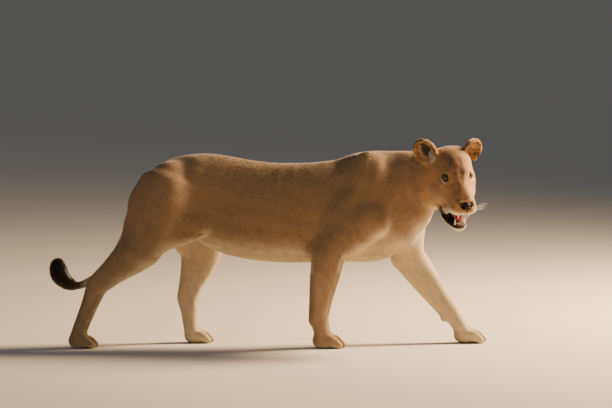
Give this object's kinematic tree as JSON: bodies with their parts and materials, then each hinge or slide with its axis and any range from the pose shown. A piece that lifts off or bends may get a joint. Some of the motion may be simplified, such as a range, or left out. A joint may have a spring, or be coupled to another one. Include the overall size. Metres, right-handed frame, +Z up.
{
  "type": "lioness",
  "caption": "Life-size lioness walking with long strides, head turned to her right and mouth open, black-tufted tail curled up.",
  "frame": {"origin": "on the floor, under the middle of her length and width", "axes": "+X the way she walks, +Y her left side, +Z up"},
  "size_m": [1.9786, 0.4714, 0.9436],
  "materials": {
    "tawny_coat": "short matte fur, tawny",
    "pale_coat": "matte fur, cream to white",
    "ear_coat": "short fur, orange-tan with dark backs",
    "black_tuft": "long matte hair, black-brown",
    "amber_eye": "wet, glossy, amber with a round dark pupil",
    "ivory_tooth": "smooth ivory",
    "pink_tongue": "moist, pink-red"
  },
  "bodies": {
    "root": {"belly": "pale_coat", "canine_lower_left": "ivory_tooth", "canine_lower_right": "ivory_tooth", "canine_upper_left": "ivory_tooth", "canine_upper_right": "ivory_tooth", "chest": "tawny_coat", "ear_left": "ear_coat", "ear_right": "ear_coat", "eye_left": "amber_eye", "eye_right": "amber_eye", "fore_paw_left": "tawny_coat", "fore_paw_right": "tawny_coat", "forearm_left": "tawny_coat", "forearm_right": "tawny_coat", "head": "tawny_coat", "hind_paw_left": "tawny_coat", "hind_paw_right": "tawny_coat", "hindquarters": "tawny_coat", "hock_left": "tawny_coat", "hock_right": "tawny_coat", "jaw": "pale_coat", "neck": "tawny_coat", "shank_left": "tawny_coat", "shank_right": "tawny_coat", "shoulder_left": "tawny_coat", "shoulder_right": "tawny_coat", "tail_base": "tawny_coat", "tail_end": "tawny_coat", "tail_middle": "tawny_coat", "tail_tuft": "black_tuft", "thigh_left": "tawny_coat", "thigh_right": "tawny_coat", "tongue": "pink_tongue"}
  },
  "joints": []
}
